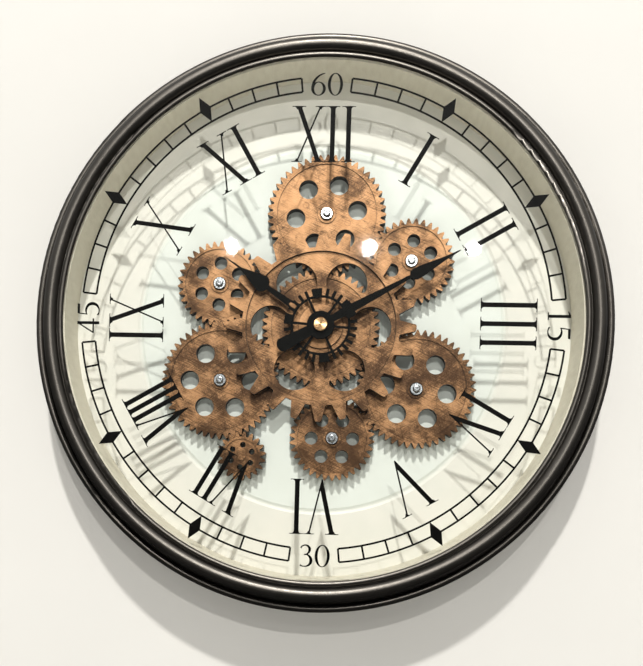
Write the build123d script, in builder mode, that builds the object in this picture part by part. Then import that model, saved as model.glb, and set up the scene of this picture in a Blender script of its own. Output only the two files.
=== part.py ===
from build123d import *
import os
from math import acos, atan2, cos, degrees, hypot, pi, radians, sin, tan

# Wall clock with an open train of turning gears behind its glass.
# Millimetres.  The origin lies on the axis of the hands, in the plane of the wall.
# +X runs to the right and +Z up for somebody facing the clock; the face looks along -Y.
# Distances "out" are measured from the wall towards the room, and clock angles run
# clockwise from twelve o'clock as seen from the front.

# ---------------------------------------------------------------- driving dimensions
clock_dia = 600
opening_dia = 530.8
plate_out = 35
plate_thick = 1.5
print_out = 90
print_thick = 0.1
glass_thick = 3

gear_module = 2.5
large_teeth = 48
medium_teeth = 34
drive_teeth = 19
gear_thick = 13.4
gear_web = 3
gear_backlash = 0.4
pressure_angle = 25
medium_orbit_r = 117.5
train_turn = 1.5
sun_turn = -0.5

groove_radii = (67, 195)
groove_half = 3.4
groove_deep = 1.2

wheel_teeth = 24
wheel_tip = 100
wheel_root = 82.8

minute_angle = 61
hour_angle = 304.4

motion_module = 0.4
drive_module = 0.5
cell_dia = 14.2
cell_length = 50

# ---------------------------------------------------------------- dimensions that follow
clock_r = clock_dia / 2
opening_r = opening_dia / 2
plate_back = plate_out - plate_thick
glass_front = print_out + glass_thick
drum_r = opening_r - 1
seat_r = opening_r + 3.6
gasket_thick = 0.5
lip_out = glass_front + gasket_thick

gear_back = plate_out + 1.6
gear_front = gear_back + gear_thick
stud_r = 4
washer_out = gear_front + 2.5
washer_thick = 1

large_pitch = large_teeth * gear_module / 2
medium_pitch = medium_teeth * gear_module / 2
drive_pitch = drive_teeth * gear_module / 2
orbit_r = 2 * large_pitch

wheel_back = gear_front + 2
wheel_front = wheel_back + 8
bush_r = 8
bush_bore = 4.6
retainer_out = wheel_front + 0.1
nut_out = retainer_out + 1
nut_thick = 3

hour_out = plate_out + 30
minute_out = plate_out + 34
hand_thick = 1.3
arbor_r = 1.6
tube_r = 2.55
fit = 0.05

case_back = plate_back - 16
case_wall = 1.5
front_layer = (plate_back - 7.5, 2)
rear_layer = (plate_back - 12.5, 3)
motion_distance = 12

box_back = plate_back - 21.5
output_layer = (plate_back - 4.5, 2)
motor_layer = (plate_back - 8.5, 3)
stage_distance = (12 + 60) * drive_module / 2


# ---------------------------------------------------------------- places and planes
def polar(radius, clock):
    """Point at a radius and clock angle, as (x, z)."""
    return radius * sin(radians(clock)), radius * cos(radians(clock))


def beside(start, distance, clock):
    """Point at a distance and clock angle from another point."""
    dx, dz = polar(distance, clock)
    return start[0] + dx, start[1] + dz


def face(out, at=(0, 0), turn=0):
    """Drawing plane facing the room, its local Y pointing at the clock angle `turn`."""
    t = radians(turn)
    return Plane(origin=(at[0], -out, at[1]), x_dir=(cos(t), 0, -sin(t)), z_dir=(0, -1, 0))


def section(at=(0, 0)):
    """Drawing plane for turned shapes: local X is the radius and local Y the distance out."""
    return Plane(origin=(at[0], 0, at[1]), x_dir=(1, 0, 0), z_dir=(0, 0, -1))


def spin_axis(at=(0, 0)):
    return Axis((at[0], 0, at[1]), (0, 1, 0))


def disc(radius, low, high, at=(0, 0), bore=0):
    """Round plate or tube between two distances out."""
    with BuildSketch(face(low, at)) as outline:
        Circle(radius)
        if bore:
            Circle(bore, mode=Mode.SUBTRACT)
    extrude(outline.sketch, amount=high - low)


def drill(radius, low, high, at=(0, 0)):
    with BuildSketch(face(low, at)) as outline:
        Circle(radius)
    extrude(outline.sketch, amount=high - low, mode=Mode.SUBTRACT)


def block(width, height, low, high, at=(0, 0), mode=Mode.ADD):
    """Rectangular block centred on a point, between two distances out."""
    with BuildSketch(face(low, at)) as outline:
        Rectangle(width, height)
    extrude(outline.sketch, amount=high - low, mode=mode)


# ---------------------------------------------------------------- gear geometry
def involute(angle):
    return tan(angle) - angle


def gear_outline(teeth, module, backlash):
    """Fill the open sketch with an involute gear that has a tooth on the local Y axis."""
    pitch = teeth * module / 2
    base = pitch * cos(radians(pressure_angle))
    tip = pitch + module
    root = pitch - 1.25 * module
    foot = max(root, base * 1.001)
    half_at_pitch = pi / (2 * teeth) - backlash / (4 * pitch)

    def flank(radius, side, middle):
        slack = involute(radians(pressure_angle)) - involute(acos(min(1, base / radius)))
        angle = middle + side * (half_at_pitch + slack)
        return radius * sin(angle), radius * cos(angle)

    step = 2 * pi / teeth
    with BuildLine() as outline:
        for k in range(teeth):
            middle = k * step
            left = [flank(r, -1, middle) for r in (foot, (foot + tip) / 2, tip)]
            right = [flank(r, 1, middle) for r in (tip, (foot + tip) / 2, foot)]
            next_foot = flank(foot, -1, middle + step)
            ThreePointArc(*left)
            Line(left[-1], right[0])
            ThreePointArc(*right)
            if foot > root:
                # Below the base circle the flanks run straight towards the axis.
                Polyline(right[-1], at_radius(right[-1], root), at_radius(next_foot, root), next_foot)
            else:
                Line(right[-1], next_foot)
    make_face(outline.edges())


def at_radius(point, radius):
    """The point moved along its own radius."""
    length = hypot(*point)
    return point[0] * radius / length, point[1] * radius / length


def meshed_turn(teeth, at, near, other_teeth, other_at, other_turn):
    """Clock angle of a tooth, nearest to `near`, that puts a gear in mesh with another."""
    toward = degrees(atan2(at[0] - other_at[0], at[1] - other_at[1]))
    pitch = 360 / teeth
    phase = (other_turn - toward) * other_teeth / 360
    first = toward + 180 + (0.5 - phase) * pitch
    return first + round((near - first) / pitch) * pitch


def small_gear(teeth, module, layer, at, turn):
    """Plain gear wheel of the movement or the drive, as (distance out, thickness)."""
    with BuildSketch(face(layer[0], at, turn)) as outline:
        gear_outline(teeth, module, module / 4)
    extrude(outline.sketch, amount=layer[1])


# ---------------------------------------------------------------- places of the train
mesh_distance = large_pitch + medium_pitch
medium_step = degrees(acos((orbit_r ** 2 + medium_orbit_r ** 2 - mesh_distance ** 2)
                           / (2 * orbit_r * medium_orbit_r)))
large_clocks = [train_turn + 120 * k for k in range(3)]
large_places = [polar(orbit_r, clock) for clock in large_clocks]
medium_places = [polar(medium_orbit_r, clock + medium_step) for clock in large_clocks]
drive_place = beside(large_places[2], large_pitch + drive_pitch, 162.8)

# Each gear's own turn: how its ring of holes happens to stand, rounded to the nearest tooth.
large_turns = [
    meshed_turn(large_teeth, place, near, large_teeth, (0, 0), sun_turn)
    for place, near in zip(large_places, (24.5, 36, 30))
]
medium_turns = [
    meshed_turn(medium_teeth, place, near, large_teeth, other, turn)
    for place, near, other, turn in zip(medium_places, (3, 25, 5), large_places, large_turns)
]
drive_turn = meshed_turn(drive_teeth, drive_place, 0, large_teeth, large_places[2], large_turns[2])

idler_place = (drive_place[0] - stage_distance, drive_place[1])
motor_place = (idler_place[0] - stage_distance, idler_place[1])
idler_turn = meshed_turn(12, idler_place, 0, 60, drive_place, 0)
motor_turn = meshed_turn(12, motor_place, 0, 60, idler_place, idler_turn)

setting_place = polar(motion_distance, 60)
setting_turn = meshed_turn(45, setting_place, 0, 15, (0, 0), minute_angle)
tube_turn = meshed_turn(48, (0, 0), hour_angle, 12, setting_place, setting_turn)

stud_places = large_places + medium_places

# Case screws, keyhole bracket and drive box fixings.
case_screw_r = opening_r + 16.1
case_screw_places = [polar(case_screw_r, 22.5 + 45 * k) for k in range(8)]
bracket_z = 225
bracket_studs = [(x, bracket_z + z) for x in (-37, 37) for z in (-12, 12)]
box_centre = (drive_place[0] - 18, drive_place[1] - 17)
box_width = 76
box_height = 74
ear_studs = [(box_centre[0] + sx * 24, box_centre[1] + sz * (box_height / 2 + 5))
             for sx in (-1, 1) for sz in (-1, 1)]
weld_studs = bracket_studs + ear_studs
cell_rows = [box_centre[1] - 8.5, box_centre[1] - 23.7]
cell_out = box_back + 10.2


# ---------------------------------------------------------------- case, glass and print
crest_r = clock_r - 20.7
crest_out = print_out + 1
bead_r = 7

with BuildPart() as rim:
    with BuildSketch(section()):
        with BuildLine():
            # Outside: side wall, small outer bead, steep land, main bead, inner lip.
            Polyline((clock_r, 0), (clock_r, 69))
            ThreePointArc((clock_r, 69), (clock_r - 4, 73), (clock_r - 8, 69))
            Polyline((clock_r - 8, 69), (clock_r - 12.6, 84), (clock_r - 13.6, 84.4),
                     (crest_r + bead_r, crest_out))
            ThreePointArc((crest_r + bead_r, crest_out), (crest_r, crest_out + bead_r),
                          (crest_r - bead_r, crest_out))
            Polyline((crest_r - bead_r, crest_out), (opening_r + 5.6, crest_out))
            ThreePointArc((opening_r + 5.6, crest_out), (opening_r + 2.4, lip_out + 2),
                          (opening_r, lip_out))
            # Inside: seat round the edge of the glass, then back under the beads.
            Polyline((opening_r, lip_out), (seat_r + 0.6, lip_out), (seat_r + 0.6, print_out - 1.5),
                     (crest_r - 5.4, print_out - 1.5), (crest_r - 4.5, crest_out))
            ThreePointArc((crest_r - 4.5, crest_out), (crest_r, crest_out + 4.5),
                          (crest_r + 4.5, crest_out))
            Polyline((crest_r + 4.5, crest_out), (clock_r - 15.4, 84), (clock_r - 10.6, 67.5),
                     (clock_r - 9, 66.4), (clock_r - 2.5, 66.4), (clock_r - 2.5, 0), (clock_r, 0))
        make_face()
    revolve(axis=spin_axis())
    # Screw bosses that the back plate is pulled against.
    for place in case_screw_places:
        disc(3.6, plate_out, crest_out + 3, place)
    for place in case_screw_places:
        drill(1.8, plate_out, plate_out + 14, place)

with BuildPart() as glass:
    disc(seat_r, print_out, glass_front)
    chamfer(glass.edges().filter_by(GeomType.CIRCLE), 0.4)

with BuildPart() as glass_gasket:
    disc(seat_r, glass_front, lip_out, bore=opening_r + 1)

with BuildPart() as side_drum:
    with BuildSketch(section()):
        with BuildLine():
            Polyline((drum_r, plate_out), (seat_r, plate_out), (seat_r, plate_out + 1),
                     (drum_r + 1, plate_out + 1), (drum_r + 1, print_out - 1),
                     (seat_r, print_out - 1), (seat_r, print_out), (drum_r, print_out), close=True)
        make_face()
    revolve(axis=spin_axis())

with BuildPart() as back_plate:
    with BuildSketch(section()):
        with BuildLine():
            front = [(bush_bore, plate_out)]
            back = [(bush_bore, plate_back)]
            for r in groove_radii:
                front += [(r - groove_half, plate_out), (r - 0.8, plate_out - groove_deep),
                          (r + 0.8, plate_out - groove_deep), (r + groove_half, plate_out)]
                back += [(r - groove_half - 0.6, plate_back), (r - 1.2, plate_back - groove_deep),
                         (r + 1.2, plate_back - groove_deep), (r + groove_half + 0.6, plate_back)]
            edge = case_screw_r + 5
            Polyline(*front, (edge, plate_out), (edge, plate_back), *reversed(back), close=True)
        make_face()
    revolve(axis=spin_axis())
    with BuildSketch(face(plate_back)):
        with Locations(*stud_places):
            Circle(2.15)
        with Locations(*case_screw_places):
            Circle(1.9)
        with Locations(drive_place):
            Circle(4)
    extrude(amount=plate_thick, mode=Mode.SUBTRACT)
    # Studs welded to the back, so that nothing shows in front.
    with BuildSketch(face(plate_back)):
        with Locations(*weld_studs):
            Circle(1.5)
    extrude(amount=-7)

with BuildPart() as plate_screws:
    for place in case_screw_places:
        disc(3.5, plate_back - 2.2, plate_back, place)
        disc(1.75, plate_back, plate_out + 12, place)

# Printed numbers: Roman hours, minute digits and the minute track, on the back of the glass.
numeral_foot = 161
numeral_head = 217.5
thick_stroke = 4.8
thin_stroke = 1.7
digit_height = 23
digit_r = 239.4
track_inner = 232.7
track_outer = 246.6
track_line = 2


def serif(x, end, inward, stroke, width):
    """Thin foot with curved brackets; `inward` is +1 at the foot and -1 at the head."""
    top = end + inward * 3.4
    edge = end + inward * 1.2
    with BuildLine() as outline:
        Polyline((x - width / 2, edge), (x - width / 2, end), (x + width / 2, end),
                 (x + width / 2, edge))
        ThreePointArc((x + width / 2, edge), (x + stroke / 2 + 0.9, end + inward * 1.5),
                      (x + stroke / 2, top))
        Line((x + stroke / 2, top), (x - stroke / 2, top))
        ThreePointArc((x - stroke / 2, top), (x - stroke / 2 - 0.9, end + inward * 1.5),
                      (x - width / 2, edge))
    make_face(outline.edges())


def slanted(x_head, x_foot, stroke):
    half = stroke / 2
    Polygon((x_foot - half, numeral_foot), (x_foot + half, numeral_foot),
            (x_head + half, numeral_head), (x_head - half, numeral_head), align=None)


def letter_i(x):
    slanted(x, x, thick_stroke)
    serif(x, numeral_foot, 1, thick_stroke, 13.6)
    serif(x, numeral_head, -1, thick_stroke, 13.6)


def letter_v(x_left, x_right):
    point = x_left + 0.47 * (x_right - x_left)
    tip = 1.2
    left = x_left + thick_stroke / 2
    right = x_right - thin_stroke / 2
    closed = (right - left) / (right - left + thick_stroke + thin_stroke - tip)
    notch_x = left + closed * (point - tip / 2 + thick_stroke - left)
    notch_y = numeral_head - closed * (numeral_head - numeral_foot)
    Polygon((x_left - thick_stroke / 2, numeral_head), (point - tip / 2, numeral_foot),
            (point + tip / 2, numeral_foot), (x_right + thin_stroke / 2, numeral_head),
            (right, numeral_head), (notch_x, notch_y), (left, numeral_head), align=None)
    serif(x_left, numeral_head, -1, thick_stroke, 13.6)
    serif(x_right, numeral_head, -1, thin_stroke, 10.4)


def letter_x(x, width):
    thin_width = 1.13 * width
    slanted(x - width / 2, x + width / 2, thick_stroke)
    slanted(x + thin_width / 2, x - thin_width / 2, thin_stroke)
    for side, end, inward in ((-1, numeral_head, -1), (1, numeral_foot, 1)):
        serif(x + side * width / 2, end, inward, thick_stroke, 13.6)
        serif(x - side * thin_width / 2, end, inward, thin_stroke, 10.4)


# Letters of each hour with their places across the numeral.
hour_numerals = {
    1: [(letter_i, 0)],
    2: [(letter_i, -9.3), (letter_i, 9.3)],
    3: [(letter_i, -19), (letter_i, 0), (letter_i, 19)],
    4: [(letter_i, -12), (letter_v, 3, 24.7)],
    5: [(letter_v, -11.8, 17)],
    6: [(letter_v, -17.6, 6), (letter_i, 18.8)],
    7: [(letter_v, -21.5, -1), (letter_i, 7.1), (letter_i, 18.2)],
    8: [(letter_v, -20.6, -2.4), (letter_i, 3.8), (letter_i, 12.8), (letter_i, 22)],
    9: [(letter_i, -17.3), (letter_x, 7.9, 20.6)],
    10: [(letter_x, 0, 23.5)],
    11: [(letter_x, -9.1, 20.6), (letter_i, 16.2)],
    12: [(letter_x, -17.1, 20.6), (letter_i, 7.1), (letter_i, 23.2)],
}


def pen(*stations):
    """Curved pen stroke through stations given as (x, y, stroke width)."""
    left = []
    right = []
    for k, (x, y, width) in enumerate(stations):
        behind = stations[max(k - 1, 0)]
        ahead = stations[min(k + 1, len(stations) - 1)]
        along = Vector(ahead[0] - behind[0], ahead[1] - behind[1]).normalized()
        aside = Vector(-along.Y, along.X) * width / 2
        left.append(Vector(x, y) + aside)
        right.insert(0, Vector(x, y) - aside)
    with BuildLine() as outline:
        Spline(*left)
        Line(left[-1], right[0])
        Spline(*right)
        Line(right[-1], left[0])
    make_face(outline.edges())


def digit_0():
    Ellipse(7.7, 11.5)
    Ellipse(4.7, 10.6, mode=Mode.SUBTRACT)


def digit_1():
    Rectangle(3.1, digit_height)
    Polygon((-5, 8.4), (-1.5, 9.4), (1.5, 11.5), (-1, 11.5), (-5, 9.3), align=None)
    with Locations((0, -11)):
        Rectangle(8, 1)


def digit_3():
    pen((-5, 7.6, 1.8), (-2.4, 10.4, 1.3), (1.6, 10.3, 1.8), (4, 7, 2.8), (2.6, 2.8, 1.9),
        (-1.6, 0.8, 0.9))
    pen((-1.6, 1.2, 0.9), (3.2, 0, 2), (5.6, -4.6, 3.2), (3.8, -9.2, 2.3), (-0.8, -11, 1.1),
        (-5.6, -9.6, 2))


def digit_4():
    with Locations((3, 0)):
        Rectangle(3, digit_height)
    with Locations((0, -5.2)):
        Rectangle(15, 1.6)
    Polygon((-7.5, -6), (-7.5, -4.8), (2.4, 11.5), (4, 11.5), (-5.6, -4.4), align=None)


def digit_5():
    Polygon((-4.6, 9), (-4.2, 11.5), (5.9, 11.5), (5.2, 9), align=None)
    Polygon((-4.6, 11), (-5.8, 1.2), (-4.6, 1.2), (-3.5, 11), align=None)
    pen((-5.4, 1.6, 1), (0.4, 2.4, 2.2), (4.9, -0.8, 3), (5.7, -4.6, 3.2), (3.7, -9, 2.4), (-1, -11, 1.2),
        (-6, -9.4, 2))


def digit_6():
    with Locations((0, -4.4)):
        Ellipse(7.4, 7.1)
        Ellipse(4.4, 6.2, mode=Mode.SUBTRACT)
    with BuildLine() as stem:
        ThreePointArc((-7.4, -4.4), (-3.8, 6.2), (6.5, 11.5))
        Line((6.5, 11.5), (6.5, 10.7))
        ThreePointArc((6.5, 10.7), (-1.4, 5.6), (-4.5, -4.4))
        Line((-4.5, -4.4), (-7.4, -4.4))
    make_face(stem.edges())


# Clock angle of the figure, clock angle its head points to, and its two digits.
minute_figures = (
    (0, 0, digit_6, digit_0),
    (90, 90, digit_1, digit_5),
    (180, 0, digit_3, digit_0),
    (270, 270, digit_4, digit_5),
)

with BuildPart() as dial_print:
    for hour, letters in hour_numerals.items():
        with BuildSketch(face(print_out - print_thick, turn=30 * hour)):
            for letter, *places in letters:
                letter(*places)
        extrude(amount=print_thick)
    for clock, head, *digits in minute_figures:
        for side, digit in zip((-8.4, 8.6), digits):
            place = beside(polar(digit_r, clock), side, head + 90)
            with BuildSketch(face(print_out - print_thick, place, head)):
                digit()
            extrude(amount=print_thick)
    with BuildSketch(face(print_out - print_thick)):
        for r in (track_outer, track_inner):
            Circle(r + track_line / 2)
            Circle(r - track_line / 2, mode=Mode.SUBTRACT)
        far = 2 * track_outer
        with PolarLocations(0, 4):
            Polygon((0, 0), (far, far * tan(radians(6))), (far, -far * tan(radians(6))), align=None,
                    mode=Mode.SUBTRACT)
        for minute in range(60):
            middle = (track_inner + track_outer) / 2
            if minute % 15 == 0:
                continue
            with PolarLocations(middle, 1, start_angle=90 - 6 * minute):
                if minute % 5 == 0:
                    Polygon((-7, 0), (7, 6.2), (20.8, 0), (7, -6.2), align=None)
                else:
                    Rectangle(track_outer - track_inner, track_line)
    extrude(amount=print_thick)


# ---------------------------------------------------------------- the train of gears
recess = 1.1
hub_wall_r = 7.6
large_holes = (10, 32.7, 2)
medium_holes = (6.9, 22, 1.6)


def gear_face(teeth, at, turn, recess_r, holes):
    """Moulded gear: toothed rim, hollow back and a recessed front web.

    `holes` is (hole radius, radius of the ring of holes, wall round each hole)."""
    hole_r, ring_r, collar = holes
    hollow_r = teeth * gear_module / 2 - 1.25 * gear_module - 3
    with BuildSketch(face(gear_back, at, turn)) as outline:
        gear_outline(teeth, gear_module, gear_backlash)
    extrude(outline.sketch, amount=gear_thick)
    with BuildSketch(face(gear_back, at, turn)) as hollow:
        Circle(hollow_r)
        Circle(hub_wall_r, mode=Mode.SUBTRACT)
        with PolarLocations(ring_r, 6, start_angle=90):
            Circle(hole_r + collar, mode=Mode.SUBTRACT)
    extrude(hollow.sketch, amount=gear_thick - gear_web, mode=Mode.SUBTRACT)
    drill(recess_r, gear_front - recess, gear_front, at)
    with BuildSketch(face(gear_back, at, turn)) as openings:
        with PolarLocations(ring_r, 6, start_angle=90):
            Circle(hole_r)
    extrude(openings.sketch, amount=gear_thick, mode=Mode.SUBTRACT)


def stud_hub(at):
    """Raised ring and tube that carry a gear on its stud."""
    disc(9.4, gear_front - recess, gear_front + 0.2, at, bore=7.2)
    disc(5.3, gear_back, washer_out - 0.1, at)
    drill(stud_r + fit, gear_back, washer_out, at)


def ejector_marks(at, turn):
    """Two shallow rings left by the mould on a large gear."""
    with BuildSketch(face(gear_front - recess - 0.2, at, turn)) as marks:
        with PolarLocations(24, 2, start_angle=0):
            Circle(3.4)
            Circle(2.6, mode=Mode.SUBTRACT)
    extrude(marks.sketch, amount=0.2, mode=Mode.SUBTRACT)


with BuildPart() as large_gear_top:
    gear_face(large_teeth, large_places[0], large_turns[0], 52.8, large_holes)
    stud_hub(large_places[0])
    ejector_marks(large_places[0], large_turns[0])

with BuildPart() as large_gear_right:
    gear_face(large_teeth, large_places[1], large_turns[1], 52.8, large_holes)
    stud_hub(large_places[1])
    ejector_marks(large_places[1], large_turns[1])

with BuildPart() as large_gear_left:
    gear_face(large_teeth, large_places[2], large_turns[2], 52.8, large_holes)
    stud_hub(large_places[2])
    ejector_marks(large_places[2], large_turns[2])

with BuildPart() as medium_gear_right:
    gear_face(medium_teeth, medium_places[0], medium_turns[0], 37, medium_holes)
    stud_hub(medium_places[0])

with BuildPart() as medium_gear_bottom:
    gear_face(medium_teeth, medium_places[1], medium_turns[1], 37, medium_holes)
    stud_hub(medium_places[1])

with BuildPart() as medium_gear_left:
    gear_face(medium_teeth, medium_places[2], medium_turns[2], 37, medium_holes)
    stud_hub(medium_places[2])

output_r = 3
output_end = gear_front - 2
with BuildPart() as drive_pinion:
    gear_face(drive_teeth, drive_place, drive_turn, 18.2, (3, 12, 1))
    disc(4.6, gear_front - 1.1, gear_front + 0.2, drive_place)
    drill(output_r + fit, gear_back, output_end, drive_place)

peg_ring = 15
with BuildPart() as sun_gear:
    with BuildSketch(face(gear_back, turn=sun_turn)):
        gear_outline(large_teeth, gear_module, gear_backlash)
    extrude(amount=gear_thick)
    with BuildSketch(face(gear_back)):
        Circle(52)
        Circle(20, mode=Mode.SUBTRACT)
    extrude(amount=gear_thick - gear_web, mode=Mode.SUBTRACT)
    drill(52.8, gear_front - recess, gear_front)
    disc(20, gear_front - recess, wheel_back)
    with BuildSketch(face(wheel_back)):
        with PolarLocations(peg_ring, 3, start_angle=90):
            Circle(2)
    extrude(amount=2.5)
    drill(bush_r + fit, gear_back, wheel_back)

# Big coarse wheel in front of the sun gear, with six large openings.
wheel_hole_r = 21.5
wheel_ring_r = 52.5
wheel_recess_r = 79
tooth_foot = 15
tooth_head = 6.4
with BuildPart() as centre_wheel:
    with BuildSketch(face(wheel_back)) as wheel_outline:
        Circle(wheel_root)
        with PolarLocations(0, wheel_teeth, start_angle=90):
            Polygon((wheel_root - 3, -tooth_foot / 2), (wheel_root, -tooth_foot / 2),
                    (wheel_tip, -tooth_head / 2), (wheel_tip, tooth_head / 2),
                    (wheel_root, tooth_foot / 2), (wheel_root - 3, tooth_foot / 2), align=None)
        fillet(wheel_outline.vertices().filter_by(lambda v: hypot(v.X, v.Y) > wheel_tip - 1), 2)
    extrude(amount=wheel_front - wheel_back)
    # Recessed web in front, hollow behind, both clear of the hub.
    with BuildSketch(face(wheel_front - 3)):
        Circle(wheel_recess_r)
        Circle(23, mode=Mode.SUBTRACT)
    extrude(amount=3, mode=Mode.SUBTRACT)
    with BuildSketch(face(wheel_back)):
        Circle(wheel_recess_r - 2)
        Circle(25, mode=Mode.SUBTRACT)
        with PolarLocations(wheel_ring_r, 6, start_angle=60):
            Circle(wheel_hole_r + 2, mode=Mode.SUBTRACT)
    extrude(amount=2.2, mode=Mode.SUBTRACT)
    with BuildSketch(face(wheel_back)):
        with PolarLocations(wheel_ring_r, 6, start_angle=60):
            Circle(wheel_hole_r)
        Circle(bush_r + fit)
    extrude(amount=wheel_front - wheel_back, mode=Mode.SUBTRACT)
    with BuildSketch(face(wheel_back)):
        with PolarLocations(peg_ring, 3, start_angle=90):
            Circle(2 + fit)
    extrude(amount=3, mode=Mode.SUBTRACT)
    # Mark left by the mould below the centre.
    with BuildSketch(face(wheel_front - 3.2)):
        with Locations((0, -66)):
            Circle(3)
    extrude(amount=0.2, mode=Mode.SUBTRACT)

with BuildPart() as centre_bush:
    disc(14, plate_out, gear_back - 0.1)
    disc(bush_r, plate_out, retainer_out)
    drill(bush_bore, plate_out, retainer_out)

with BuildPart() as wheel_retainer:
    disc(11.5, retainer_out, nut_out, bore=bush_bore)

with BuildPart() as gear_studs:
    for place in stud_places:
        disc(7, plate_out, gear_back - 0.1, place)
        disc(stud_r, plate_out, washer_out, place)
        drill(2.05, plate_out, plate_out + 7, place)
        drill(2.05, washer_out - 9, washer_out, place)

with BuildPart() as stud_washers:
    for place in stud_places:
        disc(6, washer_out, washer_out + washer_thick, place, bore=2.2)

screw_seat = washer_out + washer_thick
with BuildPart() as stud_screws:
    for place in stud_places:
        disc(2, washer_out - 8, screw_seat, place)
        disc(4, screw_seat, screw_seat + 2.8, place)
    heads = stud_screws.faces().filter_by(Axis.Y).group_by(Axis.Y)[0].edges().filter_by(GeomType.CIRCLE)
    fillet(heads, 1.6)
    for place in stud_places:
        for turn in (45, 135):
            with BuildSketch(face(screw_seat + 1.2, place, turn)):
                Rectangle(4, 0.9)
            extrude(amount=2, taper=-8, mode=Mode.SUBTRACT)

with BuildPart() as stud_back_screws:
    for place in stud_places:
        disc(2, plate_back, plate_out + 6, place)
        disc(4, plate_back - 2.6, plate_back, place)

# ---------------------------------------------------------------- hands
hub_r = 14.3
tube_front = hour_out + hand_thick + 0.6
ring_inner = 28.8
ring_outer = 31.2
ring_teeth = 30
block_teeth = (48, 228, 336)
spoke_width = 2.6

with BuildPart() as hour_hand:
    with BuildSketch(face(hour_out, turn=hour_angle)):
        # Needle and leaf, then the stem down to the yoke.
        with BuildLine():
            Polyline((-5.4, 30.5), (-3.4, 42), (-3.2, 53), (-2.2, 68.5))
            ThreePointArc((-2.2, 68.5), (-7.4, 71.6), (-8.6, 77))
            Polyline((-8.6, 77), (-5.4, 88), (-1.1, 102.5), (-0.4, 124.7), (0.4, 124.7),
                     (1.1, 102.5), (5.4, 88), (8.6, 77))
            ThreePointArc((8.6, 77), (7.4, 71.6), (2.2, 68.5))
            Polyline((2.2, 68.5), (3.2, 53), (3.4, 42), (5.4, 30.5), (-5.4, 30.5))
        make_face()
        Polygon((-2.6, 32), (-1.6, 40), (1.6, 40), (2.6, 32), align=None, mode=Mode.SUBTRACT)
        # Toothed ring on six thin spokes round the hub.
        Circle(ring_outer)
        Circle(ring_inner, mode=Mode.SUBTRACT)
        with PolarLocations((ring_outer + 38.4) / 2 - 0.5, ring_teeth, start_angle=90 + 6):
            Rectangle(8.2, 3.3)
        for clock in block_teeth:
            with PolarLocations((ring_outer + 38.4) / 2 - 0.5, 1, start_angle=90 - clock):
                Rectangle(8.2, 10)
        with PolarLocations(22, 6, start_angle=60):
            Rectangle(16, spoke_width)
        Circle(hub_r)
    extrude(amount=hand_thick)
    disc(5.5, hour_out, tube_front)
    drill(tube_r + fit, hour_out, tube_front)

with BuildPart() as minute_hand:
    with BuildSketch(face(minute_out, turn=minute_angle)):
        with BuildLine():
            # Tail with rounded corners, body, stepped block and spear.
            Polyline((-5.4, -13), (-7.3, -46))
            ThreePointArc((-7.3, -46), (0, -50.4), (7.3, -46))
            Polyline((7.3, -46), (5.4, -13), (3.4, 12), (4.4, 27.5), (8.2, 27.5), (8.2, 38), (4.4, 38),
                     (3.6, 60), (1.7, 105), (4.4, 106.5), (6, 110), (5.6, 118), (1.9, 144), (0.5, 162),
                     (-0.5, 162), (-1.9, 144), (-5.6, 118), (-6, 110), (-4.4, 106.5), (-1.7, 105),
                     (-3.6, 60), (-4.4, 38), (-8.2, 38), (-8.2, 27.5), (-4.4, 27.5), (-3.4, 12),
                     (-5.4, -13))
        make_face()
        Circle(hub_r)
    extrude(amount=hand_thick)
    disc(9.2, minute_out + hand_thick, minute_out + hand_thick + 0.4)
    disc(4.5, minute_out - 0.8, minute_out)
    drill(arbor_r + fit, minute_out - 0.8, minute_out + hand_thick + 0.4)

cap_out = minute_out + hand_thick + 0.4
with BuildPart() as hand_cap:
    disc(7, cap_out, cap_out + 4.2)
    drill(arbor_r + fit, cap_out, cap_out + 2)
    cap_rim = hand_cap.faces().sort_by(Axis.Y)[0].edges()
    chamfer(cap_rim, 0.6)

# ---------------------------------------------------------------- clock movement behind the plate
movement_width = 58
movement_top = 22
movement_bottom = -36
movement_middle = (0, (movement_top + movement_bottom) / 2)
movement_height = movement_top - movement_bottom
divider_z = -17
cell_z = -26

with BuildPart() as movement_case:
    block(movement_width, movement_height, case_back + 1.5, plate_back, movement_middle)
    fillet(movement_case.edges().filter_by(Axis.Y), 3)
    block(movement_width - 2 * case_wall, movement_top - case_wall - divider_z,
          case_back + 1.5, plate_back - case_wall,
          (0, (movement_top - case_wall + divider_z) / 2), Mode.SUBTRACT)
    block(movement_width - 2 * case_wall, divider_z - 1.5 - movement_bottom - case_wall,
          case_back + 1.5, plate_back - 0.8,
          (0, (divider_z - 1.5 + movement_bottom + case_wall) / 2), Mode.SUBTRACT)
    disc(bush_bore - fit, plate_back, nut_out + nut_thick + 0.6)
    disc(2.4, plate_back - 3, plate_back - case_wall, setting_place)
    drill(1 + fit, plate_back - 3, plate_back - 2, setting_place)
    drill(tube_r + fit, plate_back - case_wall, nut_out + nut_thick + 0.6)

with BuildPart() as movement_cover:
    cover_middle = (0, (movement_top + divider_z - 1.5) / 2)
    block(movement_width, movement_top - divider_z + 1.5, case_back, case_back + 1.5, cover_middle)
    fillet(movement_cover.edges().filter_by(Axis.Y).group_by(Axis.Z)[-1], 3)
    disc(3.6, case_back + 1.5, case_back + 3.2)
    drill(arbor_r + fit, case_back + 1.5, case_back + 3.2)
    drill(1 + fit, case_back, case_back + 1.5, setting_place)

nut_turn = 10
with BuildPart() as movement_nut:
    with BuildSketch(face(nut_out, turn=nut_turn)):
        RegularPolygon(7, 6)
        Circle(bush_bore, mode=Mode.SUBTRACT)
    extrude(amount=nut_thick)

with BuildPart() as minute_arbor:
    small_gear(15, motion_module, rear_layer, (0, 0), minute_angle)
    disc(arbor_r, case_back + 1.8, cap_out + 1.8)

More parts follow.
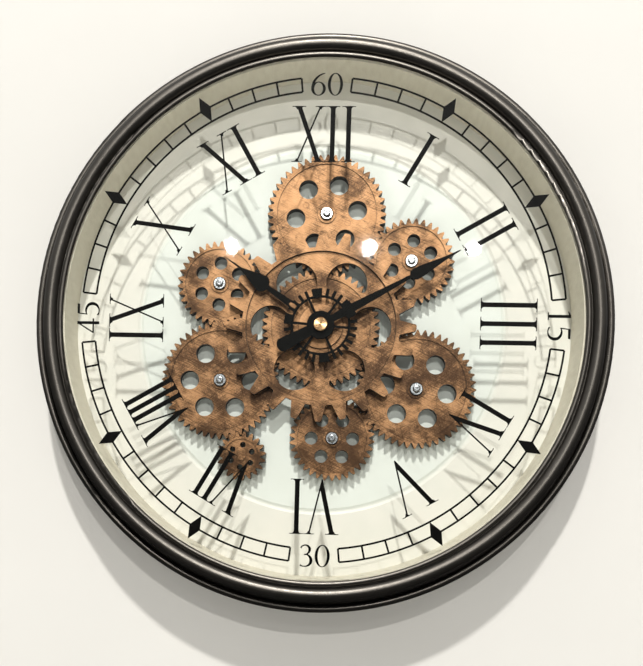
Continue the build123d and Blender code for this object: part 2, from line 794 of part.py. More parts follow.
with BuildPart() as hour_tube:
    small_gear(48, motion_module, front_layer, (0, 0), tube_turn)
    disc(3.6, front_layer[0], plate_back - case_wall - 0.2)
    disc(tube_r, front_layer[0], tube_front)
    drill(arbor_r + fit, front_layer[0], tube_front)

with BuildPart() as minute_wheel:
    small_gear(45, motion_module, rear_layer, setting_place, setting_turn)
    small_gear(12, motion_module, front_layer, setting_place, setting_turn)
    disc(1.6, rear_layer[0] + rear_layer[1], front_layer[0], setting_place)
    disc(1, case_back - 2.4, plate_back - 2.2, setting_place)

with BuildPart() as setting_knob:
    disc(7, case_back - 3.6, case_back - 0.4, setting_place)
    with BuildSketch(face(case_back - 3.6, setting_place)):
        with PolarLocations(7, 24):
            Circle(0.5)
    extrude(amount=3.2, mode=Mode.SUBTRACT)
    drill(1 + fit, case_back - 2.5, case_back - 0.4, setting_place)

coil_place = (-19.5, 1)
with BuildPart() as movement_coil:
    block(4, 30, plate_back - 8, plate_back - 6, coil_place)
    block(8.5, 22, plate_back - 11, plate_back - 3, coil_place)

with BuildPart() as movement_circuit:
    block(18, 30, case_back + 1.6, case_back + 2.6, (-16.5, 1))
    block(6, 6, case_back + 2.6, case_back + 3.6, (-16.5, -4))

with BuildPart() as movement_cell:
    with BuildSketch(Plane.YZ.offset(-cell_length / 2)):
        with Locations((-(plate_back - 8.2), cell_z)):
            Circle(cell_dia / 2)
    extrude(amount=cell_length - 1.5)
    with BuildSketch(Plane.YZ.offset(cell_length / 2 - 1.5)):
        with Locations((-(plate_back - 8.2), cell_z)):
            Circle(2.7)
    extrude(amount=1.5)

with BuildPart() as movement_contacts:
    for side in (-1, 1):
        block(0.5, 8, case_back + 3, plate_back - 2, (side * (cell_length / 2 + 1), cell_z))

# ---------------------------------------------------------------- geared motor behind the plate
with BuildPart() as drive_case:
    block(box_width, box_height, box_back + 1.5, plate_back, box_centre)
    fillet(drive_case.edges().filter_by(Axis.Y), 4)
    for place in ear_studs:
        block(9, 16, plate_back - 2, plate_back, place)
    block(box_width - 3, box_height - 3, box_back + 1.5, plate_back - 1.5, box_centre, Mode.SUBTRACT)
    drill(output_r + fit, plate_back - 1.5, plate_back, drive_place)
    for place in ear_studs:
        drill(1.6, plate_back - 2, plate_back, place)
    # Relief for the ring pressed in the plate, with a thicker wall behind it.
    ring_r = groove_radii[1]
    with BuildSketch(face(plate_back - groove_deep - 1.2)):
        Circle(ring_r + groove_half + 2.4)
        Circle(ring_r - groove_half - 2.4, mode=Mode.SUBTRACT)
        with Locations(box_centre):
            Rectangle(box_width - 2, box_height - 2, mode=Mode.INTERSECT)
    extrude(amount=groove_deep)
    with BuildSketch(face(plate_back - groove_deep - 0.2)):
        Circle(ring_r + groove_half + 1)
        Circle(ring_r - groove_half - 1, mode=Mode.SUBTRACT)
    extrude(amount=groove_deep + 0.2, mode=Mode.SUBTRACT)
    # Shelf that parts the gears from the cells, and bearing for the middle wheel.
    block(box_width - 3, 1.2, box_back + 1.5, plate_back - 1.5, (box_centre[0], drive_place[1] - 17))
    disc(2.4, plate_back - 2.3, plate_back - 1.5, idler_place)
    drill(1 + fit, plate_back - 2.3, plate_back - 1, idler_place)

switch_place = (box_centre[0] + 9, drive_place[1] + 14)
door_width = 58
door_height = 37
door_centre = (box_centre[0], (cell_rows[0] + cell_rows[1]) / 2)
with BuildPart() as drive_cover:
    block(box_width, box_height, box_back, box_back + 1.5, box_centre)
    fillet(drive_cover.edges().filter_by(Axis.Y), 4)
    block(54, 32, box_back, box_back + 1.5, door_centre, Mode.SUBTRACT)
    block(8.2, 3.2, box_back, box_back + 1.5, switch_place, Mode.SUBTRACT)
    # Rails for the battery door.
    for side in (-1, 1):
        rail_x = door_centre[0] + side * (door_width / 2 + 1.1)
        block(2, door_height, box_back - 3, box_back, (rail_x, door_centre[1]))
        block(3.4, door_height, box_back - 3, box_back - 2, (rail_x - side * 0.7, door_centre[1]))
    disc(3, box_back + 1.5, box_back + 4, drive_place)
    drill(1.5 + fit, box_back + 1.5, box_back + 4, drive_place)
    disc(3, box_back + 1.5, box_back + 4, idler_place)
    drill(1 + fit, box_back + 1.5, box_back + 4, idler_place)

with BuildPart() as drive_switch_body:
    block(13, 6.4, box_back + 1.5, box_back + 6.5, switch_place)
    block(9, 3.2, box_back + 1.5, box_back + 5, switch_place, Mode.SUBTRACT)

with BuildPart() as drive_switch:
    block(3.6, 2.8, box_back - 1.6, box_back + 4.8, (switch_place[0] - 2, switch_place[1]))
    ridges = drive_switch.faces().sort_by(Axis.Y)[-1].edges().filter_by(Axis.Z)
    chamfer(ridges, 0.5)

with BuildPart() as battery_door:
    block(door_width, door_height, box_back - 1.9, box_back - 0.1, door_centre)
    for k in range(4):
        block(22, 1, box_back - 1.9, box_back - 1.3, (door_centre[0], door_centre[1] + 12 - 2.5 * k),
              Mode.SUBTRACT)

with BuildPart() as drive_cells:
    for row in cell_rows:
        with BuildSketch(Plane.YZ.offset(box_centre[0] - cell_length / 2)) as can:
            with Locations((-cell_out, row)):
                Circle(cell_dia / 2)
        extrude(can.sketch, amount=cell_length - 1.5)
        with BuildSketch(Plane.YZ.offset(box_centre[0] + cell_length / 2 - 1.5)) as button:
            with Locations((-cell_out, row)):
                Circle(2.7)
        extrude(button.sketch, amount=1.5)

with BuildPart() as drive_contacts:
    for row in cell_rows:
        for side in (-1, 1):
            block(0.5, 8, box_back + 4, plate_back - 5, (box_centre[0] + side * (cell_length / 2 + 0.5), row))

with BuildPart() as motor:
    disc(10, box_back + 1.5, motor_layer[0] - 1, motor_place)
    disc(3, motor_layer[0] - 1, motor_layer[0] - 0.4, motor_place)
    drill(1 + fit, motor_layer[0] - 5, motor_layer[0] - 0.4, motor_place)

with BuildPart() as motor_pinion:
    small_gear(12, drive_module, motor_layer, motor_place, motor_turn)
    disc(1, motor_layer[0] - 4.9, motor_layer[0], motor_place)

with BuildPart() as reduction_wheel:
    small_gear(60, drive_module, motor_layer, idler_place, idler_turn)
    small_gear(12, drive_module, output_layer, idler_place, idler_turn)
    disc(1.6, motor_layer[0] + motor_layer[1], output_layer[0], idler_place)
    disc(1, box_back + 1.6, plate_back - 1.2, idler_place)

with BuildPart() as output_wheel:
    small_gear(60, drive_module, output_layer, drive_place, 0)
    disc(1.5, box_back + 1.6, output_layer[0], drive_place)
    disc(output_r, output_layer[0], output_end - 0.1, drive_place)

# ---------------------------------------------------------------- keyhole bracket and nuts
bracket_gap = 2
sheet = 1.5
bracket_half = 30
with BuildPart() as hanger_bracket:
    with BuildSketch(Plane.XY.offset(bracket_z - 20)):
        with BuildLine():
            Polyline((-44, -plate_back), (-44, -plate_back + sheet), (-bracket_half, -plate_back + sheet),
                     (-bracket_half, -bracket_gap), (bracket_half, -bracket_gap),
                     (bracket_half, -plate_back + sheet), (44, -plate_back + sheet), (44, -plate_back),
                     (bracket_half - sheet, -plate_back), (bracket_half - sheet, -bracket_gap - sheet),
                     (sheet - bracket_half, -bracket_gap - sheet), (sheet - bracket_half, -plate_back),
                     close=True)
        make_face()
    extrude(amount=40)
    # Keyhole: round entry below, narrow slot above.
    with BuildSketch(face(bracket_gap)):
        with Locations((0, bracket_z - 6)):
            Circle(5.5)
        with Locations((0, bracket_z)):
            Rectangle(5, 12)
        with Locations((0, bracket_z + 6)):
            Circle(2.5)
    extrude(amount=sheet, mode=Mode.SUBTRACT)
    for place in bracket_studs:
        drill(1.6, plate_back - sheet, plate_back, place)

with BuildPart() as stud_nuts:
    for places, seat in ((bracket_studs, plate_back - sheet), (ear_studs, plate_back - 2)):
        with BuildSketch(face(seat - 2.4)):
            with Locations(*places):
                RegularPolygon(3.1, 6)
                Circle(1.55, mode=Mode.SUBTRACT)
        extrude(amount=2.4)

# ---------------------------------------------------------------- one file for each sub-part
pieces = {
    "rim": rim, "glass": glass, "glass_gasket": glass_gasket, "dial_print": dial_print,
    "side_drum": side_drum, "back_plate": back_plate, "plate_screws": plate_screws,
    "centre_bush": centre_bush, "sun_gear": sun_gear, "centre_wheel": centre_wheel,
    "wheel_retainer": wheel_retainer, "movement_nut": movement_nut,
    "large_gear_top": large_gear_top, "large_gear_right": large_gear_right,
    "large_gear_left": large_gear_left, "medium_gear_right": medium_gear_right,
    "medium_gear_bottom": medium_gear_bottom, "medium_gear_left": medium_gear_left,
    "drive_pinion": drive_pinion, "gear_studs": gear_studs, "stud_washers": stud_washers,
    "stud_screws": stud_screws, "stud_back_screws": stud_back_screws,
    "hour_hand": hour_hand, "minute_hand": minute_hand, "hand_cap": hand_cap,
    "hour_tube": hour_tube, "minute_arbor": minute_arbor, "minute_wheel": minute_wheel,
    "setting_knob": setting_knob, "movement_case": movement_case, "movement_cover": movement_cover,
    "movement_coil": movement_coil, "movement_circuit": movement_circuit,
    "movement_cell": movement_cell, "movement_contacts": movement_contacts,
    "drive_case": drive_case, "drive_cover": drive_cover, "battery_door": battery_door,
    "drive_switch_body": drive_switch_body, "drive_switch": drive_switch,
    "drive_cells": drive_cells, "drive_contacts": drive_contacts, "motor": motor,
    "motor_pinion": motor_pinion, "reduction_wheel": reduction_wheel, "output_wheel": output_wheel,
    "hanger_bracket": hanger_bracket, "stud_nuts": stud_nuts,
}

os.makedirs("parts", exist_ok=True)
for name, piece in pieces.items():
    piece.part.label = name
    export_step(piece.part, f"parts/{name}.step")
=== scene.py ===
from math import cos, radians, sin

import bpy
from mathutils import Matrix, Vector


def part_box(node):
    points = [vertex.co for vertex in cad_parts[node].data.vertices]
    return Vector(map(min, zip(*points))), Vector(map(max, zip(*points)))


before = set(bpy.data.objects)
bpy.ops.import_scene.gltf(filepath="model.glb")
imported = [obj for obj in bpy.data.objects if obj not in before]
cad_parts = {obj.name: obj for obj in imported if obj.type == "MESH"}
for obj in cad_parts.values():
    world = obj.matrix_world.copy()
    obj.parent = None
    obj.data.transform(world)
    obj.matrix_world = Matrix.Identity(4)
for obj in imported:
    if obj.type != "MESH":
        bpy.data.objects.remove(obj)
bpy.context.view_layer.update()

# The clock hangs on a wall at y = 0 and faces -Y.  All lengths are metres.
glass_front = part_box("glass")[0].y
groove_r = 0.195                   # outer ring pressed in the back plate
groove_blend = 0.002               # half the width over which the plate's tint changes there


# ---------------------------------------------------------------- building materials from nodes
def paint(red, green, blue):
    """Linear colour from display values between 0 and 255."""
    def linear(value):
        share = value / 255
        return share / 12.92 if share <= 0.04045 else ((share + 0.055) / 1.055) ** 2.4

    return linear(red), linear(green), linear(blue), 1


class Recipe:
    """One material's node tree.  An input is either a plain value or another node's output."""

    def __init__(self, name):
        self.material = bpy.data.materials.new(name)
        self.material.use_nodes = True
        self.tree = self.material.node_tree
        self.shader = self.tree.nodes["Principled BSDF"]
        coordinates = self.add("ShaderNodeTexCoord")
        self.place = coordinates.outputs["Object"]
        self.normal = coordinates.outputs["Normal"]

    def add(self, kind, inputs=(), **settings):
        node = self.tree.nodes.new(kind)
        for name, value in settings.items():
            setattr(node, name, value)
        self.fill(node, dict(inputs))
        return node

    def fill(self, node, inputs):
        for name, value in inputs.items():
            if isinstance(value, bpy.types.NodeSocket):
                self.tree.links.new(value, node.inputs[name])
            else:
                node.inputs[name].default_value = value

    def finish(self, **inputs):
        """Sets the Principled shader's inputs; base_color stands for Base Color."""
        titles = {name: name.replace("_", " ").title().replace("Ior", "IOR") for name in inputs}
        self.fill(self.shader, {titles[name]: value for name, value in inputs.items()})
        return self.material

    def surface(self, shader):
        """Shows another shader in place of the Principled one."""
        self.tree.links.new(shader.outputs[0], self.tree.nodes["Material Output"].inputs["Surface"])

    def math(self, operation, *values):
        node = self.add("ShaderNodeMath", enumerate(values), operation=operation)
        return node.outputs[0]

    def spread(self, value, low, high, start=0.0, end=1.0):
        """Value between low and high, stretched to start and end and held there beyond."""
        inputs = {"Value": value, "From Min": low, "From Max": high, "To Min": start, "To Max": end}
        return self.add("ShaderNodeMapRange", inputs).outputs[0]

    def mix(self, share, first, second):
        node = self.add("ShaderNodeMix", {0: share, 6: first, 7: second}, data_type="RGBA")
        return node.outputs[2]

    def stretch(self, size, turn=0.0, place=None):
        """Place measured in steps of `size` after a turn about Y."""
        inputs = {"Vector": place or self.place, "Rotation": (0, radians(turn), 0), "Scale": size}
        return self.add("ShaderNodeMapping", inputs, vector_type="TEXTURE").outputs[0]

    def noise(self, size, detail=3.0, rough=0.55, turn=0.0, place=None):
        """Noise with blotches about `size` across: one length, or three along X, Y and Z."""
        steps = size if isinstance(size, tuple) else (size, size, size)
        inputs = {"Vector": self.stretch(steps, turn, place), "Scale": 1.0, "Detail": detail,
                  "Roughness": rough}
        return self.add("ShaderNodeTexNoise", inputs).outputs[0]

    def facing_front(self):
        """1 on faces that look out of the clock's front, 0 on all others."""
        parts = self.add("ShaderNodeSeparateXYZ", {0: self.normal})
        return self.spread(parts.outputs["Y"], -0.75, -0.55, 1, 0)

    def around(self, along, across):
        """Place unrolled round the clock's axis: angle, depth and radius, in steps of along and across."""
        x, y, z = self.add("ShaderNodeSeparateXYZ", {0: self.place}).outputs
        angle = self.math("ARCTAN2", x, z)
        steps = (self.math("MULTIPLY", angle, 1 / along), self.math("MULTIPLY", y, 1 / across),
                 self.math("MULTIPLY", self.radius(), 1 / across))
        return self.add("ShaderNodeCombineXYZ", enumerate(steps)).outputs[0]

    def radius(self):
        """Distance from the clock's axis."""
        flat = self.add("ShaderNodeVectorMath", {0: self.place, 1: (1, 0, 1)}, operation="MULTIPLY")
        return self.add("ShaderNodeVectorMath", {0: flat.outputs[0]}, operation="LENGTH").outputs["Value"]

    def bump(self, height, depth):
        inputs = {"Height": height, "Distance": depth, "Strength": 1.0}
        return self.add("ShaderNodeBump", inputs).outputs[0]


# ---------------------------------------------------------------- finishes
def satin_charcoal():
    """Rim: dark plated steel, spun, with faint turning lines that follow the beads."""
    r = Recipe("satin_charcoal")
    lines = r.noise(1.0, detail=4, place=r.around(0.35, 0.0004))
    cloud = r.noise(0.05, detail=2)
    tone = r.mix(r.spread(lines, 0.35, 0.7), paint(92, 89, 85), paint(112, 108, 102))
    tone = r.mix(r.spread(cloud, 0.3, 0.75, 0, 0.5), tone, paint(84, 81, 76))
    rough = r.spread(r.math("ADD", lines, r.noise(0.004)), 0.7, 1.3, 0.3, 0.44)
    return r.finish(base_color=tone, metallic=0.95, roughness=rough, normal=r.bump(lines, 0.00002))


def plate_white():
    """Back plate: powder coat, slightly mint inside the outer pressed ring and warm outside."""
    r = Recipe("plate_white")
    inside = r.spread(r.radius(), groove_r - groove_blend, groove_r + groove_blend, 1, 0)
    tone = r.mix(inside, paint(228, 225, 217), paint(224, 228, 223))
    cloud = r.noise(0.03, detail=4)
    tone = r.mix(r.spread(cloud, 0.35, 0.75, 0, 0.35), tone, paint(206, 208, 200))
    speck = r.noise(0.0012, detail=2)
    tone = r.mix(r.spread(speck, 0.66, 0.72, 0, 0.25), tone, paint(176, 174, 166))
    peel = r.noise(0.0016, detail=2)
    return r.finish(base_color=tone, roughness=r.spread(cloud, 0.3, 0.7, 0.42, 0.55),
                    normal=r.bump(peel, 0.00004))


def drum_cream():
    """Drum wall: cream paint with faint vertical rolling marks."""
    r = Recipe("drum_cream")
    lines = r.noise(1.0, detail=3, place=r.around(0.02, 0.02))
    tone = r.mix(r.spread(lines, 0.3, 0.7), paint(226, 220, 203), paint(214, 207, 189))
    peel = r.noise(0.0015, detail=2)
    return r.finish(base_color=tone, roughness=0.5, normal=r.bump(peel, 0.00003))


def brushed_copper():
    """Gears: black mouldings with copper paint dry-brushed over their faces."""
    r = Recipe("brushed_copper")
    patches = r.noise(0.03, detail=2, rough=0.6)
    blotch = r.spread(r.noise(0.012, detail=4), 0.35, 0.7)
    tone = r.mix(blotch, paint(202, 154, 112), paint(178, 132, 92))
    # More of the black shows towards the bottom of the clock.
    height = r.add("ShaderNodeSeparateXYZ", {0: r.place}).outputs["Z"]
    gear_reach = 0.12
    patches = r.math("ADD", patches, r.spread(height, -gear_reach, gear_reach, 0.12, -0.04))
    # Brush strokes in three directions, each set thinner than the one before.
    for turn, low in ((24, 0.72), (-38, 0.76), (74, 0.79)):
        streak = r.noise((0.012, 0.004, 0.0005), detail=4, rough=0.75, turn=turn)
        dry = r.spread(r.math("ADD", streak, r.math("MULTIPLY", patches, 0.5)), low, low + 0.12, 0, 0.85)
        tone = r.mix(dry, tone, paint(66, 45, 30))
    fine = r.noise((0.005, 0.004, 0.0003), detail=3, turn=24)
    tone = r.mix(r.spread(fine, 0.5, 0.75, 0, 0.4), tone, paint(128, 92, 62))
    # Painted shade: ambient occlusion darkens the inside corners of teeth and openings.
    corner_shade_reach = 0.0025
    painted_corner_shade = r.add("ShaderNodeAmbientOcclusion", {"Distance": corner_shade_reach}, samples=4).outputs["AO"]
    tone = r.mix(r.spread(painted_corner_shade, 0.45, 0.85), paint(34, 26, 20), tone)
    front = r.facing_front()
    tone = r.mix(front, paint(22, 20, 17), tone)
    grain = r.math("ADD", fine, r.noise(0.0008, detail=2))
    return r.finish(base_color=tone, metallic=r.spread(front, 0, 1, 0.0, 0.55),
                    roughness=r.spread(fine, 0.3, 0.8, 0.4, 0.6), specular_ior_level=0.25,
                    normal=r.bump(grain, 0.00004))


def satin_black():
    """Hands: black paint with fine dust and a faint brushed grain."""
    r = Recipe("satin_black")
    grain = r.noise((0.02, 0.01, 0.0005), detail=3, turn=61)
    dust = r.noise(0.0009, detail=2)
    tone = r.mix(r.spread(grain, 0.3, 0.7), paint(9, 10, 9), paint(15, 15, 14))
    tone = r.mix(r.spread(dust, 0.7, 0.74, 0, 0.4), tone, paint(60, 58, 54))
    return r.finish(base_color=tone, roughness=r.spread(grain, 0.3, 0.7, 0.55, 0.7),
                    specular_ior_level=0.05, normal=r.bump(dust, 0.00002))


def turned_brass():
    """Cap on the hands: face turned on a lathe, so light draws bright sectors across it."""
    r = Recipe("turned_brass")
    rings = r.noise(1.0, detail=3, place=r.around(3.0, 0.00008))
    tone = r.mix(r.spread(rings, 0.3, 0.7), paint(236, 196, 150), paint(208, 158, 110))
    tangent = r.add("ShaderNodeTangent", direction_type="RADIAL", axis="Y").outputs[0]
    return r.finish(base_color=tone, metallic=1.0, roughness=r.spread(rings, 0.3, 0.7, 0.22, 0.34),
                    anisotropic=0.85, tangent=tangent)


def zinc():
    """Screws, washers and studs: bright zinc plating with small scratches."""
    r = Recipe("zinc")
    cloud = r.noise(0.0016, detail=3)
    scratch = r.noise((0.004, 0.002, 0.00012), detail=2, turn=35)
    tone = r.mix(r.spread(cloud, 0.3, 0.7), paint(214, 217, 220), paint(178, 184, 192))
    rough = r.spread(r.math("ADD", cloud, scratch), 0.7, 1.3, 0.18, 0.4)
    return r.finish(base_color=tone, metallic=1.0, roughness=rough, normal=r.bump(scratch, 0.00001))


def rolled_steel():
    """Bracket, contacts and motor can: galvanised sheet with a faint spangle."""
    r = Recipe("rolled_steel")
    crystals = r.add("ShaderNodeTexVoronoi", {"Vector": r.stretch((0.006,) * 3), "Scale": 1.0})
    spangle = r.add("ShaderNodeRGBToBW", {0: crystals.outputs["Color"]}).outputs[0]
    grain = r.noise((0.03, 0.002, 0.0004), detail=3)
    tone = r.mix(r.spread(spangle, 0, 1), paint(168, 170, 172), paint(196, 198, 199))
    tone = r.mix(r.spread(grain, 0.4, 0.7, 0, 0.35), tone, paint(140, 142, 144))
    return r.finish(base_color=tone, metallic=1.0, roughness=r.spread(grain, 0.3, 0.7, 0.32, 0.5),
                    normal=r.bump(grain, 0.00002))


def plain_brass():
    """Bush, nut, arbor and tube: machined brass."""
    r = Recipe("plain_brass")
    lines = r.noise((0.002, 0.0002, 0.002), detail=3)
    tone = r.mix(r.spread(lines, 0.3, 0.7), paint(206, 170, 104), paint(178, 140, 78))
    return r.finish(base_color=tone, metallic=1.0, roughness=r.spread(lines, 0.3, 0.7, 0.25, 0.42))


def moulded(name, base, shade):
    """Moulded plastic with a spark-eroded grain, flow clouds and a dull sheen."""
    r = Recipe(name)
    cloud = r.noise(0.02, detail=3)
    grain = r.noise(0.0007, detail=2)
    tone = r.mix(r.spread(cloud, 0.3, 0.7), base, shade)
    return r.finish(base_color=tone, roughness=r.spread(grain, 0.3, 0.7, 0.42, 0.58),
                    normal=r.bump(grain, 0.00003))


def print_black():
    """Screen-printed ink on the back of the glass, slightly uneven in depth."""
    r = Recipe("print_black")
    cloud = r.noise(0.006, detail=3)
    tone = r.mix(r.spread(cloud, 0.3, 0.7), paint(9, 9, 8), paint(16, 15, 14))
    return r.finish(base_color=tone, roughness=0.6, specular_ior_level=0.03,
                    normal=r.bump(r.noise(0.0004), 0.000005))


def foam_black():
    """Gasket: open foam cells."""
    r = Recipe("foam_black")
    cells = r.noise(0.0008, detail=3)
    tone = r.mix(r.spread(cells, 0.3, 0.7), paint(20, 20, 20), paint(44, 43, 42))
    return r.finish(base_color=tone, roughness=0.9, normal=r.bump(cells, 0.0002))


def wound_copper():
    """Coil: rows of lacquered wire, with painted shade between the turns and painted highlight on their
    tops.
    """
    r = Recipe("wound_copper")
    winding = {"Vector": r.place, "Scale": 900.0, "Distortion": 0.6, "Detail": 1.0}
    waves = r.add("ShaderNodeTexWave", winding, bands_direction="Z").outputs["Fac"]
    # Painted shade in the grooves between turns and painted highlight on the turns.
    tone = r.mix(waves, paint(120, 58, 30), paint(205, 118, 66))
    return r.finish(base_color=tone, metallic=0.8, roughness=0.3, normal=r.bump(waves, 0.0001))


def cell_wrap():
    """Cells: printed sleeve, dark with a copper-coloured end band, and bare metal ends."""
    r = Recipe("cell_wrap")
    box_share = r.add("ShaderNodeTexCoord").outputs["Generated"]
    along = r.add("ShaderNodeSeparateXYZ", {0: box_share}).outputs["X"]
    band = r.spread(along, 0.7, 0.71)
    metal = r.spread(along, 0.955, 0.96)
    mottle = r.noise(0.003, detail=3)
    tone = r.mix(band, paint(30, 31, 34), paint(188, 122, 62))
    tone = r.mix(metal, tone, paint(196, 196, 198))
    tone = r.mix(r.spread(mottle, 0.4, 0.7, 0, 0.2), tone, paint(90, 86, 82))
    return r.finish(base_color=tone, metallic=r.spread(along, 0.7, 0.71, 0.1, 0.9), roughness=0.3)


def window_glass():
    """Front pane: thin mirror over clear glass; lamps shine straight through it."""
    r = Recipe("window_glass")
    smear = r.noise(0.08, detail=3)
    clear = r.add("ShaderNodeBsdfTransparent", {"Color": (0.985, 0.992, 0.985, 1)})
    mirror = r.add("ShaderNodeBsdfGlossy", {"Roughness": r.spread(smear, 0.4, 0.7, 0.015, 0.04)})
    fresnel = r.add("ShaderNodeFresnel", {"IOR": 1.45}).outputs[0]
    # No mirror for shadow rays, nor on the faces that a ray leaves the pane by.
    shadow = r.add("ShaderNodeLightPath").outputs["Is Shadow Ray"]
    leaving = r.add("ShaderNodeNewGeometry").outputs["Backfacing"]
    shown = r.math("SUBTRACT", 1.0, r.math("MAXIMUM", shadow, leaving))
    mirror_share = r.math("MULTIPLY", fresnel, shown)
    both = r.add("ShaderNodeMixShader", {0: mirror_share, 1: clear.outputs[0], 2: mirror.outputs[0]})
    r.surface(both)
    r.tree.nodes.remove(r.shader)
    return r.material


finishes = {
    "rim_paint": satin_charcoal(),
    "clear_glass": window_glass(),
    "black_foam": foam_black(),
    "print_ink": print_black(),
    "cream_paint": drum_cream(),
    "plate_paint": plate_white(),
    "plated_steel": zinc(),
    "bush_brass": plain_brass(),
    "copper_face": brushed_copper(),
    "hand_paint": satin_black(),
    "cap_brass": turned_brass(),
    "white_acetal": moulded("milky_acetal", paint(228, 226, 216), paint(214, 211, 200)),
    "case_plastic": moulded("black_styrene", paint(26, 26, 27), paint(34, 34, 35)),
    "copper_coil": wound_copper(),
    "circuit_green": moulded("board_green", paint(18, 74, 46), paint(36, 104, 66)),
    "cell_sleeve": cell_wrap(),
    "steel_sheet": rolled_steel(),
    "grey_plastic": moulded("grey_styrene", paint(92, 93, 94), paint(104, 105, 105)),
    "red_slider": moulded("red_acetal", paint(168, 30, 26), paint(148, 24, 22)),
}

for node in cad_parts.values():
    for slot in node.material_slots:
        slot.material = finishes[slot.material.name]


# ---------------------------------------------------------------- stage: floor and wall
floor_z = -0.62
stage_half = 6.0
wall_top = 4.0
wall_y = 0.0005                    # just behind the clock's back, which is at y = 0


def stage_sheet(name, corners, material):
    """One flat face that belongs to the stage, not to the clock."""
    mesh = bpy.data.meshes.new(name)
    mesh.from_pydata(corners, [], [range(len(corners))])
    sheet = bpy.data.objects.new(name, mesh)
    sheet.data.materials.append(material)
    bpy.context.scene.collection.objects.link(sheet)
    return sheet


def pale_paint(name):
    """Recipe and tone that the wall and the floor share."""
    r = Recipe(name)
    cloud = r.noise(0.4, detail=3)
    tone = r.mix(r.spread(cloud, 0.3, 0.7), paint(214, 213, 209), paint(219, 218, 214))
    return r, tone


def wall_material():
    """Pale wall that is only there from the front: seen from behind it lets everything through."""
    r, tone = pale_paint("stage_wall")
    r.finish(base_color=tone, roughness=0.9)
    behind = r.add("ShaderNodeNewGeometry").outputs["Backfacing"]
    clear = r.add("ShaderNodeBsdfTransparent")
    both = r.add("ShaderNodeMixShader", {0: behind, 1: r.shader.outputs[0], 2: clear.outputs[0]})
    r.surface(both)
    return r.material


def floor_material():
    r, tone = pale_paint("stage_floor")
    return r.finish(base_color=tone, roughness=0.8)


side = stage_half
floor_corners = [(-side, -side, floor_z), (side, -side, floor_z),
                 (side, side, floor_z), (-side, side, floor_z)]
wall_corners = [(-side, wall_y, floor_z), (side, wall_y, floor_z),
                (side, wall_y, wall_top), (-side, wall_y, wall_top)]
floor = stage_sheet("stage_floor", floor_corners, floor_material())
floor.visible_glossy = False
wall = stage_sheet("stage_wall", wall_corners, wall_material())
wall.visible_shadow = False
wall.visible_diffuse = False
wall.visible_glossy = False


# ---------------------------------------------------------------- light
camera_place = Vector((0.0130, -1.1131, -0.1839))
lamp_distance = 5.0
lamp_colour = paint(255, 252, 247)[:3]
glare_x = (-0.092, 0.048, 0.152)   # three small glare spots on the glass, all at one height
glare_z = 0.074


def lamp(name, place, power, size):
    """Round lamp aimed at the clock: power in watts, size across in metres."""
    data = bpy.data.lights.new(name, "AREA")
    data.shape = "DISK"
    data.size = size
    data.energy = power
    data.color = lamp_colour
    light = bpy.data.objects.new(name, data)
    light.location = place
    light.rotation_euler = place.to_track_quat("Z", "Y").to_euler()
    bpy.context.scene.collection.objects.link(light)
    return light


def toward(azimuth, elevation):
    """Place at an azimuth to the right of -Y and an elevation above it."""
    a, e = radians(azimuth), radians(elevation)
    return Vector((sin(a) * cos(e), -cos(a) * cos(e), sin(e))) * lamp_distance


def mirrored(x, z):
    """Place of a lamp that the camera sees reflected at (x, z) on the glass."""
    spot = Vector((x, glass_front, z))
    sight = (spot - camera_place).normalized()
    return spot + Vector((sight.x, -sight.y, sight.z)) * lamp_distance


def leave_out(light, thing):
    """Keeps one lamp off one object, so that it isn't seen reflected there."""
    unlit = bpy.data.collections.new(f"{light.name}_unlit")
    unlit.objects.link(thing)
    unlit.collection_objects[0].light_linking.link_state = "EXCLUDE"
    light.light_linking.receiver_collection = unlit


lamp("lamp_high", toward(0, 43), power=205, size=0.2)
lamp_low = lamp("lamp_low", toward(4, 21), power=60, size=0.12)
leave_out(lamp_low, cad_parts["glass"])
lamp("lamp_behind", toward(180, 30), power=35, size=1.5)
for k, x in enumerate(glare_x):
    lamp(f"lamp_spot_{k}", mirrored(x, glare_z), power=3, size=0.075)

air_below = (0.06, 0.06, 0.06, 1)
air_above = (1.0, 0.99, 0.97, 1)
glow_strength = 0.42
backdrop_colour = (0.72, 0.72, 0.70, 1)


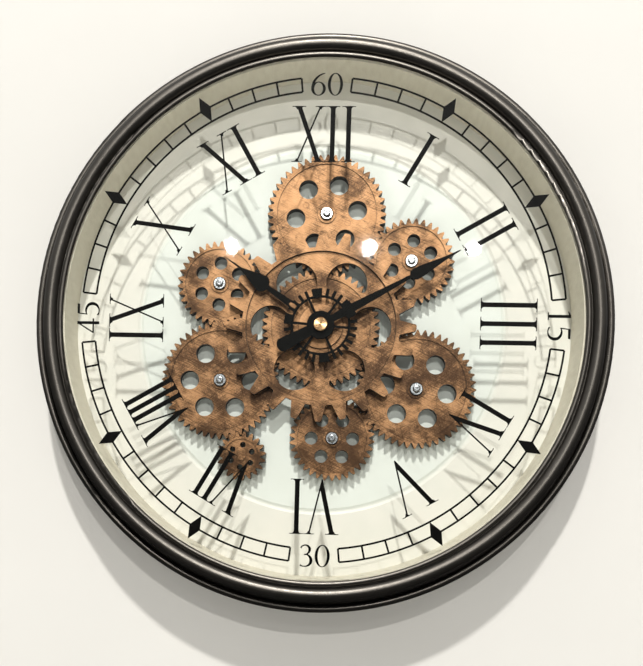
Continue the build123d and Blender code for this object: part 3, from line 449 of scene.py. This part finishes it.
def studio_air():
    """Pale surroundings: a plain backdrop for the camera and a soft ceiling glow for the light."""
    world = bpy.data.worlds.new("studio")
    world.use_nodes = True
    nodes, links = world.node_tree.nodes, world.node_tree.links
    glow = nodes["Background"]
    place = nodes.new("ShaderNodeTexCoord")
    parts = nodes.new("ShaderNodeSeparateXYZ")
    links.new(place.outputs["Generated"], parts.inputs[0])
    ramp = nodes.new("ShaderNodeValToRGB")
    height = nodes.new("ShaderNodeMapRange")
    height.inputs["From Min"].default_value = -1     # straight down; 0.5 on the ramp is level
    links.new(parts.outputs["Z"], height.inputs["Value"])
    links.new(height.outputs[0], ramp.inputs["Fac"])
    below, above = ramp.color_ramp.elements
    below.position, below.color = 0.5, air_below
    above.position, above.color = 0.7, air_above
    backdrop = nodes.new("ShaderNodeBackground")
    backdrop.inputs["Color"].default_value = backdrop_colour
    path = nodes.new("ShaderNodeLightPath")
    both = nodes.new("ShaderNodeMixShader")
    links.new(ramp.outputs["Color"], glow.inputs["Color"])
    glow.inputs["Strength"].default_value = glow_strength
    links.new(path.outputs["Is Camera Ray"], both.inputs[0])
    links.new(glow.outputs[0], both.inputs[1])
    links.new(backdrop.outputs[0], both.inputs[2])
    links.new(both.outputs[0], nodes["World Output"].inputs["Surface"])
    bpy.context.scene.world = world


studio_air()
bpy.context.scene.view_settings.view_transform = "Standard"

# ---------------------------------------------------------------- camera
sensor = 36                        # millimetres
focal = 1.5015                     # focal length as a share of the frame's long side
camera_turn = (88.965, -1.546, 3.615)
lens_shift = {"shift_x": 0.0850, "shift_y": 0.2782}
shift_ends = 0.05                  # distance from the standpoint at which the shift is gone


def set_camera():
    """Camera below the middle of the clock, with a lens shifted up like a cropped picture."""
    data = bpy.data.cameras.new("camera")
    data.sensor_width = sensor
    data.lens = focal * sensor
    camera = bpy.data.objects.new("camera", data)
    camera.location = camera_place
    camera.rotation_euler = [radians(turn) for turn in camera_turn]
    bpy.context.scene.collection.objects.link(camera)
    bpy.context.scene.camera = camera
    # The shift belongs to this standpoint only: it fades when the camera is moved elsewhere.
    marker = bpy.data.objects.new("camera_standpoint", None)
    marker.location = camera_place
    bpy.context.scene.collection.objects.link(marker)
    for axis, amount in lens_shift.items():
        curve = data.driver_add(axis)
        curve.modifiers.remove(curve.modifiers[0])
        curve.keyframe_points.insert(0.0, amount)
        curve.keyframe_points.insert(shift_ends, 0.0)
        curve.driver.type = "AVERAGE"
        away = curve.driver.variables.new()
        away.type = "LOC_DIFF"
        away.targets[0].id = camera
        away.targets[1].id = marker


set_camera()
